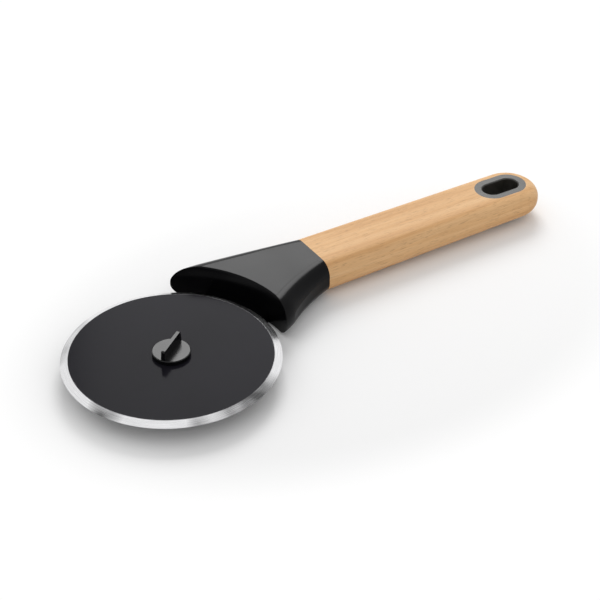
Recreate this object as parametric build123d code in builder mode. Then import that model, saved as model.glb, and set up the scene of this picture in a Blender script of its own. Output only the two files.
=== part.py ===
from build123d import *
import os
from math import atan, cos, radians, sin, tan

# Pizza cutter wheel with a lift-out blade, in millimetres.
# The tool lies on the plane z = 0, the blade turns about the Z axis,
# and the handle runs along +X, to one side of that axis.

# Blade: a coated disc with a bare ground rim
blade_diameter = 100.0
blade_thickness = 1.8
grind_width = 3.5
grind_height = 1.6

# Hub: a flanged bush below the blade and a cap snapped on above it
hub_wall = 1.35
hub_step = 0.1
hub_flat_depth = 1.0
hub_flange_width = 3.5
hub_flange_thickness = 1.0
hub_cap_width = 2.1
hub_cap_thickness = 0.8

# Spindle pin, cross pin and the spring washer under the pin's shoulder
shank_diameter = 6.0
shank_lead_in = 0.25
shoulder_width = 1.0
journal_depth = 0.9
tongue_thickness = 0.9
tongue_width = 6.0
tongue_height = 4.0
tongue_hole_side = 2.0
tongue_hole_height_share = 2 / 3
cross_pin_diameter = 2.0
cross_pin_margin = 0.45
lug_length = 1.8
spring_space = 0.8
spring_strip = 0.3

# Lock knob: a low disc with a thin fin across it and a skirt round the hub cap
knob_skirt_wall = 1.0
knob_plate_thickness = 1.25
knob_edge_chamfer = 0.35
fin_end_inset = 0.3
fin_height = 4.9
fin_top_thickness = 1.6
fin_base_thickness = 2.2
fin_corner_radius = 0.8
fin_angle = 36.4

# Bayonet socket: the steel insert in the boss that the cross pin locks under
socket_wall = 1.5
socket_flange_width = 1.5
socket_flange_thickness = 0.8
socket_flange_rise = 0.2
socket_recess = 0.4
lock_turn = 90.0

# Guard head: guard, collar, spigot, arm and boss in one moulding
head_thickness = 20.0
head_length = 35.3
guard_gap = 7.0
guard_half_angle = 35.4
guard_crest_angle = 23.0
guard_tip_width = 1.8
guard_lip_chamfer = 0.6
near_side_hollow = 1.9
arm_angle = 27.1
arm_thickness = 5.2
arm_width_at_boss = 20.0
arm_width_at_guard = 36.0
arm_root_depth = 2.0
arm_edge_round = 1.2
boss_wall = 4.5
boss_rim_chamfer = 0.6
spigot_width = 19.0
spigot_thickness = 9.0
spigot_length = 20.0

# Core plate: the steel strip moulded into the arm that ends as the tang
core_thickness = 2.0
core_cover = 3.5
core_eye_margin = 2.75
core_tang_length = 52.0
core_step_start = 2.5
core_step_run = 9.0
core_key_hole_side = 4.0
core_key_hole_spacing = 13.0
core_key_hole_count = 3

# Wooden handle and the liner of its hang slot
handle_offset = 27.4
handle_width = 31.6
handle_thickness_at_joint = 16.8
handle_thickness_at_end = 13.8
side_round = 6.6
hang_slot_setback = 114.0
hang_slot_length = 20.5
hang_slot_width = 10.2
liner_wall = 4.0
liner_edge_chamfer = 0.5

# Clearances
running_clearance = 0.05
side_play = 0.2
moving_gap = 0.3
lug_side_clearance = 0.2
glue_gap = 0.1

# One overrun serves all cuts
overrun = 40.0

# Radii, from the shank outwards
blade_radius = blade_diameter / 2
guard_radius = blade_radius + guard_gap
shank_radius = shank_diameter / 2
shank_bore_radius = shank_radius + running_clearance
journal_radius = shank_radius + shoulder_width
journal_bore_radius = journal_radius + running_clearance
hub_neck_radius = journal_bore_radius + hub_wall
blade_hole_flats = 2 * (hub_neck_radius + hub_step)
blade_hole_radius = hub_neck_radius + hub_step + hub_flat_depth
hub_flange_radius = blade_hole_radius + hub_flange_width
hub_cap_radius = hub_neck_radius + hub_cap_width
skirt_bore_radius = hub_cap_radius + moving_gap
knob_radius = skirt_bore_radius + knob_skirt_wall
cross_pin_radius = cross_pin_diameter / 2
lug_reach = shank_radius + lug_length
lug_sweep_radius = lug_reach + lug_side_clearance
socket_radius = lug_sweep_radius + socket_wall
socket_flange_radius = socket_radius + socket_flange_width
boss_radius = socket_radius + boss_wall
core_eye_radius = socket_radius + core_eye_margin

# Levels above the plane that the tool lies on
mid_level = head_thickness / 2
blade_bottom = mid_level - blade_thickness / 2
blade_top = blade_bottom + blade_thickness
rim_level = blade_top - grind_height
hub_bottom = blade_bottom - hub_flange_thickness
hub_top = blade_top + hub_cap_thickness
socket_top = hub_bottom - side_play
boss_top = socket_top - socket_flange_rise
shoulder_level = socket_top - journal_depth
spring_seat = shoulder_level - spring_space
knob_bottom = blade_top + moving_gap
knob_plate_bottom = hub_top + side_play
knob_plate_top = knob_plate_bottom + knob_plate_thickness
fin_top = knob_plate_top + fin_height
core_level = arm_thickness / 2

# The cross pin hangs just under the ledge that holds it
shank_end = socket_recess + cross_pin_margin
cross_pin_level = shank_end + cross_pin_margin + cross_pin_radius
ledge_level = cross_pin_level + cross_pin_radius + running_clearance

# Other sizes that follow from those above
fin_length = 2 * (knob_radius - fin_end_inset)
joint_distance = guard_radius + head_length
hang_slot_distance = joint_distance + hang_slot_setback
slot_end_centre = (hang_slot_distance + (hang_slot_length - hang_slot_width) / 2, handle_offset)
handle_radius = handle_width / 2
handle_end = slot_end_centre[0] + handle_radius
core_arm_width = arm_width_at_boss - 2 * core_cover
core_tang_width = spigot_width - 2 * core_cover
core_step_begin = guard_radius + core_step_start
core_step_finish = core_step_begin + core_step_run
tang_end = joint_distance + core_tang_length
arm_root_end = guard_radius + arm_root_depth

# The tool tapers in thickness: the head from the crest of its lip to the joint,
# and the handle from the joint to its end
head_crest = guard_radius * cos(radians(arm_angle + guard_crest_angle))
head_fall = (head_thickness - handle_thickness_at_joint) / 2
head_tilt = atan(head_fall / (joint_distance - head_crest))
handle_fall = (handle_thickness_at_joint - handle_thickness_at_end) / 2
handle_tilt = atan(handle_fall / (handle_end - joint_distance))

os.makedirs("parts", exist_ok=True)


def finish(builder, name):
    """Label a finished piece and write it to its own file."""
    builder.part.label = name
    export_step(builder.part, f"parts/{name}.step")


def plan_direction(angle):
    """The direction in plan at an angle from the X axis."""
    return Vector(cos(radians(angle)), sin(radians(angle)), 0)


def side_plane(angle):
    """The upright plane that holds the blade's axis and a direction in plan."""
    along = plan_direction(angle)
    return Plane(origin=(0, 0, 0), x_dir=along, z_dir=along.cross(up))


def tapered_top(tilt):
    """The plane of a top that falls along X and passes the handle's top at the joint."""
    level = mid_level + handle_thickness_at_joint / 2 + joint_distance * tan(tilt)
    return Plane(
        origin=(0, 0, level), x_dir=(cos(tilt), 0, -sin(tilt)), z_dir=(sin(tilt), 0, cos(tilt))
    )


# Directions and planes that the pieces share
up = Vector(0, 0, 1)
middle_plane = Plane.XY.offset(mid_level)
arm_direction = plan_direction(arm_angle)
fin_direction = plan_direction(fin_angle)
arm_plane = Plane(origin=(0, 0, 0), x_dir=arm_direction, z_dir=up)
arm_side_plane = side_plane(arm_angle)
fin_plane = Plane(origin=(0, 0, 0), x_dir=fin_direction, z_dir=up)
tongue_plane = side_plane(fin_angle)
cross_pin_plane = Plane(
    origin=(0, 0, cross_pin_level), x_dir=fin_direction.cross(up), z_dir=fin_direction
)
joint_plane = Plane(
    origin=(joint_distance, handle_offset, mid_level), x_dir=(0, 1, 0), z_dir=(1, 0, 0)
)

# The blade's hole has two flats, and the hub bush fills it
with BuildSketch(arm_plane.offset(blade_bottom)) as blade_hole:
    Circle(blade_hole_radius)
    Rectangle(2 * blade_hole_radius, blade_hole_flats, mode=Mode.INTERSECT)

# The wood and the liner share the slot that is cut through the handle
with BuildSketch(Plane.XY) as liner_outline:
    with Locations((hang_slot_distance, handle_offset)):
        SlotOverall(hang_slot_length + 2 * liner_wall, hang_slot_width + 2 * liner_wall)

# They also share the handle's outer form: its upper half, mirrored
with BuildPart() as handle_form:
    with BuildSketch(tapered_top(handle_tilt)):
        with Locations(slot_end_centre):
            Circle(handle_radius)
            Rectangle(
                slot_end_centre[0] - joint_distance + side_round,
                handle_width,
                align=(Align.MAX, Align.CENTER),
            )
    extrude(amount=-head_thickness)
    handle_top = handle_form.faces().sort_by(Axis.Z)[-1]
    fillet(handle_top.edges().sort_by(Axis.X)[1:], side_round)
    split(bisect_by=middle_plane, keep=Keep.TOP)
    mirror(about=middle_plane)
    split(bisect_by=joint_plane, keep=Keep.TOP)

# Blade
with BuildPart() as blade:
    with BuildSketch(Plane.XZ):
        with BuildLine():
            Polyline(
                (0, blade_bottom),
                (blade_radius, blade_bottom),
                (blade_radius, rim_level),
                (blade_radius - grind_width, blade_top),
                (0, blade_top),
                close=True,
            )
        make_face()
    revolve(axis=Axis.Z)
    extrude(blade_hole.sketch, amount=blade_thickness, mode=Mode.SUBTRACT)
finish(blade, "blade")

# Hub bush: its flange carries the blade from below, its flats drive it
with BuildPart() as hub_bush:
    with BuildSketch(Plane.XY.offset(hub_bottom)):
        Circle(hub_flange_radius)
    extrude(amount=hub_flange_thickness)
    extrude(blade_hole.sketch, amount=blade_thickness)
    with BuildSketch(Plane.XY.offset(blade_top)):
        Circle(hub_neck_radius)
    extrude(amount=hub_cap_thickness)
    with BuildSketch(Plane.XY.offset(hub_bottom)):
        Circle(journal_bore_radius)
    extrude(amount=hub_top - hub_bottom, mode=Mode.SUBTRACT)
finish(hub_bush, "hub_bush")

# Hub cap: snapped over the bush's neck to clamp the blade
with BuildPart() as hub_cap:
    with BuildSketch(Plane.XY.offset(blade_top)):
        Circle(hub_cap_radius)
        Circle(hub_neck_radius, mode=Mode.SUBTRACT)
    extrude(amount=hub_cap_thickness)
finish(hub_cap, "hub_cap")

# Spindle pin: shank, shoulder, journal and the tongue that the knob is moulded on
with BuildPart() as spindle_pin:
    with BuildSketch(Plane.XY.offset(shank_end)):
        Circle(shank_radius)
    extrude(amount=shoulder_level - shank_end)
    chamfer(spindle_pin.edges().group_by(Axis.Z)[0], shank_lead_in)
    with BuildSketch(Plane.XY.offset(shoulder_level)):
        Circle(journal_radius)
    extrude(amount=knob_plate_bottom - shoulder_level)
    with BuildSketch(fin_plane.offset(knob_plate_bottom)):
        Rectangle(tongue_width, tongue_thickness)
    extrude(amount=tongue_height)
    with BuildSketch(tongue_plane):
        with Locations((0, knob_plate_bottom + tongue_height * tongue_hole_height_share)):
            Rectangle(tongue_hole_side, tongue_hole_side)
    extrude(amount=tongue_thickness, both=True, mode=Mode.SUBTRACT)
    with BuildSketch(cross_pin_plane):
        Circle(cross_pin_radius)
    extrude(amount=shank_diameter, both=True, mode=Mode.SUBTRACT)
finish(spindle_pin, "spindle_pin")

# Cross pin: its two ends are the lugs of the bayonet lock
with BuildPart() as cross_pin:
    with BuildSketch(cross_pin_plane):
        Circle(cross_pin_radius)
    extrude(amount=lug_reach, both=True)
finish(cross_pin, "cross_pin")

# Lock knob: disc, skirt over the hub cap, and the fin that is turned
with BuildPart() as lock_knob:
    with BuildSketch(Plane.XY.offset(knob_bottom)):
        Circle(knob_radius)
    extrude(amount=knob_plate_top - knob_bottom)
    chamfer(lock_knob.edges().group_by(Axis.Z)[-1], knob_edge_chamfer)
    with BuildSketch(fin_plane.offset(knob_plate_top)):
        Rectangle(fin_length, fin_base_thickness)
    with BuildSketch(fin_plane.offset(fin_top)):
        Rectangle(fin_length, fin_top_thickness)
    loft()
    fin_top_edges = lock_knob.faces().sort_by(Axis.Z)[-1].edges()
    fillet(fin_top_edges.sort_by(SortBy.LENGTH)[:2], fin_corner_radius)
    with BuildSketch(Plane.XY.offset(knob_bottom)):
        Circle(skirt_bore_radius)
    extrude(amount=knob_plate_bottom - knob_bottom, mode=Mode.SUBTRACT)
    add(spindle_pin.part, mode=Mode.SUBTRACT)
finish(lock_knob, "lock_knob")

# Bayonet socket: bore for the shank, counterbore for the spring and the journal,
# keyways for the lugs, and below the ledge a recess with two stops
with BuildPart() as bayonet_socket:
    with BuildSketch(Plane.XY.offset(socket_recess)):
        Circle(socket_radius)
    extrude(amount=socket_top - socket_recess)
    with BuildSketch(Plane.XY.offset(socket_top - socket_flange_thickness)):
        Circle(socket_flange_radius)
    extrude(amount=socket_flange_thickness)
    with BuildSketch(Plane.XY.offset(socket_recess)):
        Circle(shank_bore_radius)
    extrude(amount=socket_top - socket_recess, mode=Mode.SUBTRACT)
    with BuildSketch(Plane.XY.offset(spring_seat)):
        Circle(journal_bore_radius)
    extrude(amount=socket_top - spring_seat, mode=Mode.SUBTRACT)
    with BuildSketch(fin_plane.rotated((0, 0, lock_turn)).offset(socket_recess)):
        SlotOverall(2 * lug_sweep_radius, cross_pin_diameter + 2 * lug_side_clearance)
    extrude(amount=socket_top - socket_recess, mode=Mode.SUBTRACT)
    stop_corner = cross_pin_radius + lug_side_clearance
    with BuildSketch(fin_plane.offset(socket_recess)):
        Circle(lug_sweep_radius)
        with Locations((-stop_corner, stop_corner)):
            Rectangle(
                lug_sweep_radius,
                lug_sweep_radius,
                align=(Align.MAX, Align.MIN),
                mode=Mode.SUBTRACT,
            )
        with Locations((stop_corner, -stop_corner)):
            Rectangle(
                lug_sweep_radius,
                lug_sweep_radius,
                align=(Align.MIN, Align.MAX),
                mode=Mode.SUBTRACT,
            )
        Circle(shank_bore_radius + lug_side_clearance)
    extrude(amount=ledge_level - socket_recess, mode=Mode.SUBTRACT)
finish(bayonet_socket, "bayonet_socket")

# Spring washer: a ring cut from a bowed strip, flexed between seat and shoulder
with BuildPart() as spring_washer:
    with BuildSketch(Plane.XY.offset(spring_seat)):
        Circle(journal_radius)
        Circle(shank_radius + moving_gap, mode=Mode.SUBTRACT)
    extrude(amount=spring_space)
    with BuildSketch(Plane.XZ):
        with BuildLine():
            lower = ThreePointArc(
                (-journal_radius, spring_seat),
                (0, spring_seat + spring_space - spring_strip),
                (journal_radius, spring_seat),
            )
            upper = ThreePointArc(
                (-journal_radius, spring_seat + spring_strip),
                (0, spring_seat + spring_space),
                (journal_radius, spring_seat + spring_strip),
            )
            Line(lower @ 0, upper @ 0)
            Line(lower @ 1, upper @ 1)
        make_face()
    extrude(amount=journal_radius, both=True, mode=Mode.INTERSECT)
finish(spring_washer, "spring_washer")

# Core plate: eye around the socket, strip along the arm, step up to the handle's
# middle, and the tang that is glued into the wood
with BuildPart() as core_plate:
    with BuildSketch(Plane.XY):
        Circle(core_eye_radius)
        with Locations(arm_plane.location):
            Rectangle(core_step_finish, core_arm_width, align=(Align.MIN, Align.CENTER))
        with Locations((tang_end, handle_offset)):
            Rectangle(
                tang_end - core_step_begin * cos(radians(arm_angle)),
                core_tang_width,
                align=(Align.MAX, Align.CENTER),
            )
        Circle(socket_radius, mode=Mode.SUBTRACT)
        with Locations(arm_plane.location):
            for number in range(core_key_hole_count):
                place = core_eye_radius + (number + 1 / 2) * core_key_hole_spacing
                with Locations((place, 0)):
                    Rectangle(core_key_hole_side, core_key_hole_side, mode=Mode.SUBTRACT)
    extrude(amount=head_thickness)
    with BuildSketch(arm_side_plane):
        with BuildLine() as core_path:
            Polyline(
                (-overrun, core_level),
                (core_step_begin, core_level),
                (core_step_finish, mid_level),
                (tang_end + overrun, mid_level),
            )
        trace(line_width=core_thickness)
    extrude(amount=tang_end, both=True, mode=Mode.INTERSECT)
finish(core_plate, "core_plate")

# Guard head in plan: a hollow near side, an arc, and a straight far side run from
# the guard's two tips to the joint with the wood
near_tip = plan_direction(arm_angle - guard_half_angle) * (guard_radius + guard_tip_width)
far_tip = plan_direction(arm_angle + guard_half_angle) * (guard_radius + guard_tip_width)
near_joint = Vector(joint_distance, handle_offset - handle_radius, 0)
far_joint = Vector(joint_distance, handle_offset + handle_radius, 0)
far_reach = far_joint + (far_joint - far_tip).normalized() * side_round
near_chord = near_joint - near_tip
near_radius = near_chord.length**2 / (8 * near_side_hollow) + near_side_hollow / 2
near_depth = near_radius - near_side_hollow
near_centre = (near_tip + near_joint) / 2 + near_chord.normalized().cross(up) * near_depth

# Arm: flat, and wider towards the guard
with BuildPart() as arm:
    with BuildSketch(arm_plane):
        with BuildLine():
            Polyline(
                (0, -arm_width_at_boss / 2),
                (arm_root_end, -arm_width_at_guard / 2),
                (arm_root_end, arm_width_at_guard / 2),
                (0, arm_width_at_boss / 2),
                close=True,
            )
        make_face()
    extrude(amount=arm_thickness)
    fillet(arm.edges().sort_by(SortBy.LENGTH)[-4:], arm_edge_round)

with BuildPart() as guard_head:
    # Guard and collar: the upper half, with rounded sides and a hollow face that
    # follows the blade, is mirrored
    with BuildSketch(tapered_top(head_tilt)):
        with BuildLine():
            Polyline(
                (0, 0),
                (far_tip.X, far_tip.Y),
                (far_reach.X, far_reach.Y),
                (near_centre.X, near_centre.Y),
                (near_tip.X, near_tip.Y),
                close=True,
            )
        make_face()
        with Locations((near_centre.X, near_centre.Y)):
            Circle(near_radius, mode=Mode.SUBTRACT)
    extrude(amount=-head_thickness)
    top_edges = guard_head.faces().sort_by(Axis.Z)[-1].edges()
    near_edge = top_edges.filter_by(GeomType.CIRCLE)[0]
    far_edge = top_edges.filter_by(GeomType.LINE).sort_by(Axis.Y)[-1]
    fillet((near_edge, far_edge), side_round)
    with BuildSketch(Plane.XY):
        Circle(guard_radius)
    extrude(amount=overrun, both=True, mode=Mode.SUBTRACT)
    guard_face = guard_head.faces().sort_by(SortBy.DISTANCE)[0]
    chamfer(guard_face.edges().sort_by(Axis.Z)[1:], guard_lip_chamfer)
    split(bisect_by=middle_plane, keep=Keep.TOP)
    mirror(about=middle_plane)
    split(bisect_by=joint_plane, keep=Keep.BOTTOM)
    # Boss
    with BuildSketch(Plane.XY):
        Circle(boss_radius)
    extrude(amount=boss_top)
    boss_rims = guard_head.edges().filter_by(GeomType.CIRCLE).sort_by(SortBy.DISTANCE)[:2]
    chamfer(boss_rims.sort_by(Axis.Z)[0], boss_rim_chamfer)
    add(arm.part)
    # Spigot inside the wood
    with BuildSketch(joint_plane):
        Rectangle(spigot_width, spigot_thickness)
    extrude(amount=spigot_length)
    # Seats of the two steel inserts
    with BuildSketch(Plane.XY):
        Circle(socket_radius)
    extrude(amount=boss_top, mode=Mode.SUBTRACT)
    with BuildSketch(Plane.XY.offset(socket_top - socket_flange_thickness)):
        Circle(socket_flange_radius)
    extrude(amount=socket_flange_thickness, mode=Mode.SUBTRACT)
    add(core_plate.part, mode=Mode.SUBTRACT)
finish(guard_head, "guard_head")

# Wooden handle
with BuildPart() as wood_handle:
    add(handle_form.part)
    with BuildSketch(joint_plane):
        Rectangle(spigot_width + 2 * glue_gap, spigot_thickness + 2 * glue_gap)
    extrude(amount=spigot_length + glue_gap, mode=Mode.SUBTRACT)
    with BuildSketch(joint_plane):
        Rectangle(core_tang_width + 2 * glue_gap, core_thickness + 2 * glue_gap)
    extrude(amount=core_tang_length + glue_gap, mode=Mode.SUBTRACT)
    extrude(liner_outline.sketch, amount=head_thickness, mode=Mode.SUBTRACT)
finish(wood_handle, "wood_handle")

# Hang slot liner: a grey ring through the handle, flush with the wood
with BuildPart() as hang_slot_liner:
    extrude(liner_outline.sketch, amount=head_thickness)
    add(handle_form.part, mode=Mode.INTERSECT)
    with BuildSketch(Plane.XY):
        with Locations((hang_slot_distance, handle_offset)):
            SlotOverall(hang_slot_length, hang_slot_width)
    extrude(amount=head_thickness, mode=Mode.SUBTRACT)
    flat_faces = hang_slot_liner.faces().filter_by(GeomType.PLANE).sort_by(Axis.Z)
    for face in (flat_faces[0], flat_faces[-1]):
        chamfer(face.inner_wires()[0].edges(), liner_edge_chamfer)
finish(hang_slot_liner, "hang_slot_liner")
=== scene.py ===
import math

import bmesh
import bpy
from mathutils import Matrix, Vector


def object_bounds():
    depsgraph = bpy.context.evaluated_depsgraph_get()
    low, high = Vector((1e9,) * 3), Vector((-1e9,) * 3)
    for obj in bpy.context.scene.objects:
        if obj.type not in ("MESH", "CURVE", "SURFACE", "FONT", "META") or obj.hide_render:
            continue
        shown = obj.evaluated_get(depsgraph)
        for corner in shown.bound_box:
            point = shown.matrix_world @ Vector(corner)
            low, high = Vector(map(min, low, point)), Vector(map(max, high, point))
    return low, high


# Pizza cutter wheel, in metres, in the frame of the CAD model:
# the blade turns about the Z axis and the handle runs along +X.

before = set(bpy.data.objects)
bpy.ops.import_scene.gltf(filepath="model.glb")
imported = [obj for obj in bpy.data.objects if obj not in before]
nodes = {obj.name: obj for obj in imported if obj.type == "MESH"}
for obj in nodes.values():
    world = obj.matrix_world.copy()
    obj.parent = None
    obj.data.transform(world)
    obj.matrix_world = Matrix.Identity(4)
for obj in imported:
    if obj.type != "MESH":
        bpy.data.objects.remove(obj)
cad_low, cad_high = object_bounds()

# Blade
blade_radius = 0.050
bare_rim_width = 0.0035
rim_edge_softness = 0.00012

# Relief of the finishes, as depths
nylon_grain_depth = 0.000003
liner_grain_depth = 0.000006
blade_relief_depth = 0.0000015
steel_scratch_depth = 0.000002
wood_relief_depth = 0.00001

# Colours
head_black = (0.0014, 0.0014, 0.0018)
knob_black = (0.003, 0.003, 0.0034)
liner_grey = (0.020, 0.0180, 0.0145)
coating_dark = (0.0082, 0.0078, 0.0108)
coating_light = (0.0120, 0.0114, 0.0156)
rim_dark = (0.62, 0.62, 0.63)
rim_light = (0.86, 0.86, 0.87)
steel_dark = (0.50, 0.50, 0.50)
steel_light = (0.64, 0.63, 0.62)
wood_dark = (0.615, 0.342, 0.148)
wood_middle = (0.735, 0.448, 0.218)
wood_light = (0.805, 0.530, 0.286)
wood_shade = (0.93, 0.91, 0.89)
wood_thread = (0.86, 0.83, 0.80)
wood_pore = (0.30, 0.165, 0.080)
white = (1.0, 1.0, 1.0)
floor_pale = (0.90, 0.90, 0.90, 1.0)


# Small helpers for node trees


def new_material(name):
    """A material with a cleared tree, its Principled shader and its output."""
    material = bpy.data.materials.new(name)
    material.use_nodes = True
    tree = material.node_tree
    tree.nodes.clear()
    shader = tree.nodes.new("ShaderNodeBsdfPrincipled")
    output = tree.nodes.new("ShaderNodeOutputMaterial")
    tree.links.new(shader.outputs["BSDF"], output.inputs["Surface"])
    return material, tree, shader


def add(tree, kind, links, **settings):
    """A node with its settings; links are (input, socket) pairs."""
    node = tree.nodes.new(kind)
    for name, value in settings.items():
        setattr(node, name, value)
    for name, socket in links:
        tree.links.new(socket, node.inputs[name])
    return node


def maths(tree, operation, first, second):
    """A Math node's value; each side is a socket or a number."""
    node = tree.nodes.new("ShaderNodeMath")
    node.operation = operation
    for index, side in enumerate((first, second)):
        if isinstance(side, (int, float)):
            node.inputs[index].default_value = side
        else:
            tree.links.new(side, node.inputs[index])
    return node.outputs[0]


def ramp(tree, factor, stops):
    """A colour ramp with (place, colour) stops."""
    node = tree.nodes.new("ShaderNodeValToRGB")
    elements = node.color_ramp.elements
    while len(elements) < len(stops):
        elements.new(0.5)
    for element, (place, colour) in zip(elements, stops):
        element.position = place
        element.color = (*colour, 1.0)
    tree.links.new(factor, node.inputs["Fac"])
    return node.outputs["Color"]


def fit(tree, value, low, high, new_low, new_high, smooth=False):
    """Maps a value from one range to another, clamped."""
    node = tree.nodes.new("ShaderNodeMapRange")
    node.interpolation_type = "SMOOTHSTEP" if smooth else "LINEAR"
    tree.links.new(value, node.inputs["Value"])
    node.inputs["From Min"].default_value = low
    node.inputs["From Max"].default_value = high
    node.inputs["To Min"].default_value = new_low
    node.inputs["To Max"].default_value = new_high
    return node.outputs["Result"]


def spread(tree, value, new_low, new_high):
    """Maps the middle of a noise's range, where most of it lies."""
    return fit(tree, value, 0.3, 0.7, new_low, new_high)


def mix_colour(tree, factor, first, second, blend="MIX"):
    """Mixes two colours; each is a socket or a colour."""
    node = tree.nodes.new("ShaderNodeMix")
    node.data_type = "RGBA"
    node.blend_type = blend
    # The node has sockets of each data type; these are the factor and the two colours
    for index, value in ((0, factor), (6, first), (7, second)):
        socket = node.inputs[index]
        if isinstance(value, (int, float)):
            socket.default_value = value
        elif isinstance(value, tuple):
            socket.default_value = (*value, 1.0)
        else:
            tree.links.new(value, socket)
    return node.outputs[2]


def own_place(tree, scale=(1.0, 1.0, 1.0)):
    """The point on the piece, in metres times a scale, which turns with the piece."""
    place = tree.nodes.new("ShaderNodeTexCoord").outputs["Object"]
    mapping = add(tree, "ShaderNodeMapping", [("Vector", place)])
    mapping.inputs["Scale"].default_value = scale
    return mapping.outputs["Vector"]


def noise(tree, place, scale, detail=2.0, roughness=0.5, distortion=0.0):
    """A noise texture's grey value."""
    node = add(tree, "ShaderNodeTexNoise", [("Vector", place)])
    node.inputs["Scale"].default_value = scale
    node.inputs["Detail"].default_value = detail
    node.inputs["Roughness"].default_value = roughness
    node.inputs["Distortion"].default_value = distortion
    return node.outputs["Fac"]


def bump(tree, shader, height, depth):
    """Surface relief of a given depth."""
    node = add(tree, "ShaderNodeBump", [("Height", height)])
    node.inputs["Strength"].default_value = 1.0
    node.inputs["Distance"].default_value = depth
    tree.links.new(node.outputs["Normal"], shader.inputs["Normal"])


# Materials


def moulded_nylon(name, colour, roughness, grain_depth, shine):
    """Black or grey moulded plastic with a fine spark-eroded grain."""
    patch_scale = 45.0
    patch_gain = 1.35
    grain_scale = 2600.0
    roughness_spread = 0.03

    material, tree, shader = new_material(name)
    shader.inputs["Specular IOR Level"].default_value = shine
    place = own_place(tree)
    patches = noise(tree, place, patch_scale, detail=3.0)
    grain = noise(tree, place, grain_scale, roughness=0.6)
    light = tuple(part * patch_gain for part in colour)
    tree.links.new(mix_colour(tree, patches, colour, light), shader.inputs["Base Color"])
    rough = spread(tree, patches, roughness - roughness_spread, roughness + roughness_spread)
    tree.links.new(rough, shader.inputs["Roughness"])
    bump(tree, shader, grain, grain_depth)
    return material


def by_zone(tree, bare, on_coating, on_rim):
    """One value on the coating and another on the bare rim."""
    coating_part = maths(tree, "MULTIPLY", on_coating, maths(tree, "SUBTRACT", 1.0, bare))
    return maths(tree, "ADD", coating_part, maths(tree, "MULTIPLY", on_rim, bare))


def blade_steel():
    """Dark non-stick coating on the disc, bare ground steel on the rim."""
    shine = 0.020
    line_scale_across = 9000.0
    line_scale_round = 3.0
    speckle_scale = 1500.0
    cloud_scale = 28.0
    # Patches of painted dark reflection on the bare rim: their size, place and colours
    painted_reflection_scale = 34.0
    painted_reflection_offset = (-0.034, 0.047, 0.0)
    painted_reflection_dark = (0.14, 0.14, 0.14)
    painted_reflection_grey = (0.60, 0.60, 0.60)
    coating_roughness = (0.13, 0.19)
    rim_roughness = (0.20, 0.32)

    material, tree, shader = new_material("blade_coating")
    shader.inputs["Specular IOR Level"].default_value = shine
    place = own_place(tree)
    split = add(tree, "ShaderNodeSeparateXYZ", [("Vector", place)])
    x, y = split.outputs["X"], split.outputs["Y"]
    x_squared = maths(tree, "MULTIPLY", x, x)
    y_squared = maths(tree, "MULTIPLY", y, y)
    radius = maths(tree, "POWER", maths(tree, "ADD", x_squared, y_squared), 0.5)
    coating_edge = blade_radius - bare_rim_width
    inner, outer = coating_edge - rim_edge_softness, coating_edge + rim_edge_softness
    bare = fit(tree, radius, inner, outer, 0.0, 1.0)
    # Grinding lines run round the rim: close steps in the radius, slow ones round the turn
    lines_across = maths(tree, "MULTIPLY", radius, line_scale_across)
    lines_round = maths(tree, "MULTIPLY", maths(tree, "ARCTAN2", y, x), line_scale_round)
    ring_place = add(tree, "ShaderNodeCombineXYZ", [("X", lines_across), ("Y", lines_round)])
    lines = noise(tree, ring_place.outputs["Vector"], 1.0, detail=3.0, roughness=0.6)
    speckle = noise(tree, place, speckle_scale, roughness=0.55)
    clouds = noise(tree, place, cloud_scale, detail=3.0)
    coat_colour = ramp(tree, clouds, [(0.3, coating_dark), (0.7, coating_light)])
    # Painted reflection: dark and grey patches multiplied into the bare rim's colour stand in for
    # reflections of its surroundings; the offset chooses where they lie
    painted_reflection_place = add(tree, "ShaderNodeVectorMath", [("Vector", place)], operation="ADD")
    painted_reflection_place.inputs[1].default_value = painted_reflection_offset
    painted_reflections = noise(tree, painted_reflection_place.outputs["Vector"], painted_reflection_scale)
    painted_reflection_stops = [(0.34, painted_reflection_dark), (0.42, painted_reflection_grey), (0.52, white)]
    steel_colour = ramp(tree, lines, [(0.3, rim_dark), (0.7, rim_light)])
    steel_colour = mix_colour(tree, 1.0, steel_colour, ramp(tree, painted_reflections, painted_reflection_stops), "MULTIPLY")
    tree.links.new(mix_colour(tree, bare, coat_colour, steel_colour), shader.inputs["Base Color"])
    tree.links.new(bare, shader.inputs["Metallic"])
    coat_rough = spread(tree, clouds, *coating_roughness)
    steel_rough = spread(tree, lines, *rim_roughness)
    tree.links.new(by_zone(tree, bare, coat_rough, steel_rough), shader.inputs["Roughness"])
    bump(tree, shader, by_zone(tree, bare, speckle, lines), blade_relief_depth)
    return material


def turned_steel():
    """Plain turned or stamped steel."""
    scratch_scale = (400.0, 400.0, 5000.0)
    cloud_scale = 220.0
    steel_roughness = (0.25, 0.38)

    material, tree, shader = new_material("turned_steel")
    shader.inputs["Metallic"].default_value = 1.0
    scratches = noise(tree, own_place(tree, scratch_scale), 1.0, detail=3.0, roughness=0.6)
    clouds = noise(tree, own_place(tree), cloud_scale)
    colour = ramp(tree, scratches, [(0.3, steel_dark), (0.7, steel_light)])
    tree.links.new(colour, shader.inputs["Base Color"])
    tree.links.new(spread(tree, clouds, *steel_roughness), shader.inputs["Roughness"])
    bump(tree, shader, scratches, steel_scratch_depth)
    return material


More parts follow.
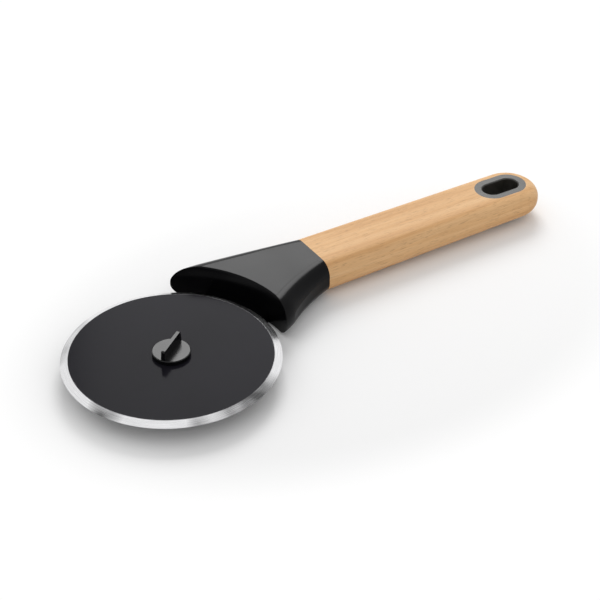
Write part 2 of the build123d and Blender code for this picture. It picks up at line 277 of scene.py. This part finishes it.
def hardwood():
    """Pale hardwood with its grain along the handle."""
    shine = 0.12
    warp_scale = (9.0, 40.0, 40.0)
    band_scale = (5.0, 190.0, 150.0)
    fibre_scale = (60.0, 2600.0, 2600.0)
    pore_scale = (230.0, 2900.0, 2900.0)
    pore_strength = 0.45
    fibre_share = 0.4
    wood_roughness = (0.42, 0.56)

    material, tree, shader = new_material("pale_hardwood")
    shader.inputs["Specular IOR Level"].default_value = shine
    warp = noise(tree, own_place(tree, warp_scale), 1.0)
    bands = noise(tree, own_place(tree, band_scale), 1.0, detail=3.0, roughness=0.55, distortion=0.4)
    fibres = noise(tree, own_place(tree, fibre_scale), 1.0, detail=3.0, roughness=0.6)
    pores = noise(tree, own_place(tree, pore_scale), 1.0, detail=1.0)
    tone = ramp(tree, bands, [(0.28, wood_dark), (0.48, wood_middle), (0.72, wood_light)])
    shades = ramp(tree, warp, [(0.3, wood_shade), (0.7, white)])
    tone = mix_colour(tree, 1.0, tone, shades, "MULTIPLY")
    threads = ramp(tree, fibres, [(0.25, wood_thread), (0.6, white)])
    tone = mix_colour(tree, 1.0, tone, threads, "MULTIPLY")
    pits = fit(tree, pores, 0.60, 0.70, 0.0, 1.0)
    tone = mix_colour(tree, maths(tree, "MULTIPLY", pits, pore_strength), tone, wood_pore)
    tree.links.new(tone, shader.inputs["Base Color"])
    tree.links.new(spread(tree, fibres, *wood_roughness), shader.inputs["Roughness"])
    relief = maths(tree, "SUBTRACT", maths(tree, "MULTIPLY", fibres, fibre_share), pits)
    bump(tree, shader, relief, wood_relief_depth)
    return material


def dress(node, material):
    """Gives a CAD piece its finish, in every slot it has."""
    slots = nodes[node].data.materials
    if len(slots) == 0:
        slots.append(material)
    for index in range(len(slots)):
        slots[index] = material


head_nylon = moulded_nylon("head_nylon", head_black, 0.20, nylon_grain_depth, shine=0.08)
knob_nylon = moulded_nylon("knob_nylon", knob_black, 0.26, nylon_grain_depth, shine=0.26)
liner_nylon = moulded_nylon("liner_nylon", liner_grey, 0.42, liner_grain_depth, shine=0.50)
steel = turned_steel()

dress("guard_head", head_nylon)
dress("lock_knob", knob_nylon)
dress("hang_slot_liner", liner_nylon)
dress("wood_handle", hardwood())
dress("blade", blade_steel())
for name in (
    "hub_bush",
    "hub_cap",
    "spindle_pin",
    "cross_pin",
    "bayonet_socket",
    "spring_washer",
    "core_plate",
):
    dress(name, steel)

# The guard's ends are rounder than on the CAD solid: hidden cutters take a little off
# its long edges, most at the tips and nothing at the joint with the wood
mid_level = 0.010
guard_radius = 0.057
tip_width = 0.0018
arm_angle = math.radians(27.1)
guard_half_angle = math.radians(35.4)
joint_x = 0.0923
joint_y = 0.0274
joint_half_width = 0.0158
joint_half_height = 0.0084
head_slope = 0.0287
cad_round = 0.0066
near_hollow = 0.0019
tip_inset = 0.0017
tip_inset_share = 0.22

# How the cutters are made: how far they stand off the surface and reach past it
skin = 0.00005
overlap = 0.0002
inner_margin = 0.001
cutter_reach = 0.006
lead_in_count = 4
station_count = 41
arc_steps = 20
sharp_angle = math.radians(24.0)


def tip(side):
    """A tip of the guard in plan; the side is 1 for the far one and -1 for the near one."""
    angle = arm_angle + side * guard_half_angle
    reach = guard_radius + tip_width
    return Vector((reach * math.cos(angle), reach * math.sin(angle), 0.0))


def edge_stations(side):
    """Places along a side of the head, each with its outward direction and share of the way."""
    start = tip(side)
    end = Vector((joint_x, joint_y + side * joint_half_width, 0.0))
    chord = end - start
    along = chord.normalized()
    outward = side * Vector((-along.y, along.x, 0.0))
    # The near side is a shallow parabola, 4 h s (1 - s), and the far side is straight
    hollow = near_hollow if side < 0 else 0.0
    stations = []
    for step in range(-lead_in_count, station_count + 1):
        share = step / station_count
        place = start + chord * share - outward * (4.0 * hollow * share * (1.0 - share))
        lean = 4.0 * hollow * (1.0 - 2.0 * share) / chord.length
        if share < tip_inset_share:
            place = place - outward * (tip_inset * (1.0 - share / tip_inset_share) ** 2)
        stations.append((place, (outward + along * lean).normalized(), share))
    return stations


def corner_ring(place, outward, share, level_sign):
    """The outline of what is cut off one corner of the section at a station."""
    half_height = joint_half_height + (joint_x - place.x) * head_slope
    fullness = min(1.0, max(0.0, 1.0 - share))
    radius = cad_round + (half_height - cad_round) * fullness
    outline = [(-radius - inner_margin, half_height + skin)]
    for step in range(1, arc_steps):
        angle = math.radians(90.0) * (1.0 - step / arc_steps)
        reach = radius + skin
        outline.append((reach * math.cos(angle) - radius, half_height - radius + reach * math.sin(angle)))
    outline.append((skin, -overlap))
    outline.append((cutter_reach, -overlap))
    outline.append((cutter_reach, half_height + cutter_reach))
    outline.append((-radius - inner_margin, half_height + cutter_reach))
    return [
        place + outward * across + Vector((0.0, 0.0, mid_level + level_sign * level))
        for across, level in outline
    ]


def edge_cutter(name, side, level_sign):
    """A hidden cutter for one long edge, which a Boolean modifier takes off the head."""
    rings = [corner_ring(*station, level_sign) for station in edge_stations(side)]
    size = len(rings[0])
    corners = [corner for ring in rings for corner in ring]
    faces = []
    for low in range(0, len(corners) - size, size):
        high = low + size
        for index in range(size):
            after = (index + 1) % size
            faces.append((low + index, low + after, high + after, high + index))
    faces.append(tuple(range(size))[::-1])
    faces.append(tuple(range(len(corners) - size, len(corners))))
    mesh = bpy.data.meshes.new(name)
    mesh.from_pydata(corners, [], faces)
    shape = bmesh.new()
    shape.from_mesh(mesh)
    bmesh.ops.recalc_face_normals(shape, faces=shape.faces)
    for face in shape.faces:
        face.smooth = True
    shape.to_mesh(mesh)
    shape.free()
    mesh.materials.append(head_nylon)
    cutter = bpy.data.objects.new(name, mesh)
    bpy.context.scene.collection.objects.link(cutter)
    cutter.hide_render = True
    cutter.hide_viewport = True
    modifier = nodes["guard_head"].modifiers.new(name, "BOOLEAN")
    modifier.operation = "DIFFERENCE"
    modifier.solver = "EXACT"
    modifier.object = cutter


for side_name, side in (("far", 1), ("near", -1)):
    edge_cutter(side_name + "_upper_cut", side, 1)
    edge_cutter(side_name + "_lower_cut", side, -1)
sharp_edges = nodes["guard_head"].modifiers.new("sharp_edges", "EDGE_SPLIT")
sharp_edges.split_angle = sharp_angle
nodes["guard_head"].modifiers.new("even_normals", "WEIGHTED_NORMAL")


def seen_directly(tree):
    """1 for what the camera, a reflection or a clear piece shows, 0 for what lights."""
    rays = tree.nodes.new("ShaderNodeLightPath")
    seen = maths(tree, "MAXIMUM", rays.outputs["Is Camera Ray"], rays.outputs["Is Glossy Ray"])
    return maths(tree, "MAXIMUM", seen, rays.outputs["Is Transmission Ray"])


# Floor: a pale sheet that keeps the shadow near the tool and is plain white further off.
# The white begins at an oval round the tool, so lengths along the handle count for less
floor_level = -0.00005
floor_half = 3.0
oval_scale = (0.62, 0.9, 1.0)
white_start = 0.080
white_end = 0.112
shadow_lift = 0.02

floor_mesh = bpy.data.meshes.new("floor")
floor_corners = [
    (-floor_half, -floor_half, floor_level),
    (floor_half, -floor_half, floor_level),
    (floor_half, floor_half, floor_level),
    (-floor_half, floor_half, floor_level),
]
floor_mesh.from_pydata(floor_corners, [], [(0, 1, 2, 3)])
floor = bpy.data.objects.new("floor", floor_mesh)
bpy.context.scene.collection.objects.link(floor)
floor_material, tree, shader = new_material("floor")
shader.inputs["Base Color"].default_value = floor_pale
shader.inputs["Roughness"].default_value = 0.9
shader.inputs["Specular IOR Level"].default_value = 0.1
tool_centre = (cad_low + cad_high) / 2
position = tree.nodes.new("ShaderNodeNewGeometry").outputs["Position"]
shifted = add(tree, "ShaderNodeVectorMath", [("Vector", position)], operation="SUBTRACT")
shifted.inputs[1].default_value = (tool_centre.x, tool_centre.y, 0.0)
oval = add(tree, "ShaderNodeMapping", [("Vector", shifted.outputs["Vector"])])
oval.inputs["Scale"].default_value = oval_scale
away = add(tree, "ShaderNodeVectorMath", [("Vector", oval.outputs["Vector"])], operation="LENGTH")
far_white = fit(tree, away.outputs["Value"], white_start, white_end, 0.0, 1.0, smooth=True)
seen = seen_directly(tree)
plain_white = tree.nodes.new("ShaderNodeEmission")
plain_white.inputs["Strength"].default_value = 1.0
blend = add(tree, "ShaderNodeMixShader", [("Fac", maths(tree, "MULTIPLY", far_white, seen))])
tree.links.new(shader.outputs["BSDF"], blend.inputs[1])
tree.links.new(plain_white.outputs["Emission"], blend.inputs[2])
lift = add(tree, "ShaderNodeEmission", [("Strength", maths(tree, "MULTIPLY", seen, shadow_lift))])
total = tree.nodes.new("ShaderNodeAddShader")
tree.links.new(blend.outputs["Shader"], total.inputs[0])
tree.links.new(lift.outputs["Emission"], total.inputs[1])
floor_output = next(node for node in tree.nodes if node.type == "OUTPUT_MATERIAL")
tree.links.new(total.outputs["Shader"], floor_output.inputs["Surface"])
floor_mesh.materials.append(floor_material)

# World: white where it is seen, and a soft even light otherwise
seen_level = 1.0
light_level = 0.74

world = bpy.data.worlds.new("studio")
bpy.context.scene.world = world
world.use_nodes = True
tree = world.node_tree
tree.nodes.clear()
level = fit(tree, seen_directly(tree), 0.0, 1.0, light_level, seen_level)
background = add(tree, "ShaderNodeBackground", [("Strength", level)])
background.inputs["Color"].default_value = (*white, 1.0)
output = tree.nodes.new("ShaderNodeOutputWorld")
tree.links.new(background.outputs["Background"], output.inputs["Surface"])

# Lamp: one small softbox behind the tool, which the black tops reflect as a sheen
lamp_place = Vector((0.55, 0.74, 0.72))
lamp_aim = Vector((0.08, 0.01, 0.0))
lamp_size = 0.55
lamp_power = 6.2

lamp_data = bpy.data.lights.new("back", "AREA")
lamp_data.shape = "SQUARE"
lamp_data.size = lamp_size
lamp_data.energy = lamp_power
lamp = bpy.data.objects.new("back", lamp_data)
bpy.context.scene.collection.objects.link(lamp)
lamp.location = lamp_place
lamp.rotation_mode = "QUATERNION"
lamp.rotation_quaternion = (lamp_aim - lamp_place).to_track_quat("-Z", "Y")

# Camera at the photograph's angle, a 100 mm lens on a 36 mm frame
camera_place = (-0.2668, -0.5344, 0.46735)
camera_tilt = math.radians(54.34)
camera_turn = math.radians(-32.08)

camera_data = bpy.data.cameras.new("camera")
camera_data.lens = 100.0
camera_data.sensor_width = 36.0
camera_data.clip_end = 50.0
camera = bpy.data.objects.new("camera", camera_data)
bpy.context.scene.collection.objects.link(camera)
camera.location = camera_place
camera.rotation_euler = (camera_tilt, 0.0, camera_turn)
bpy.context.scene.camera = camera

bpy.context.scene.view_settings.view_transform = "Standard"
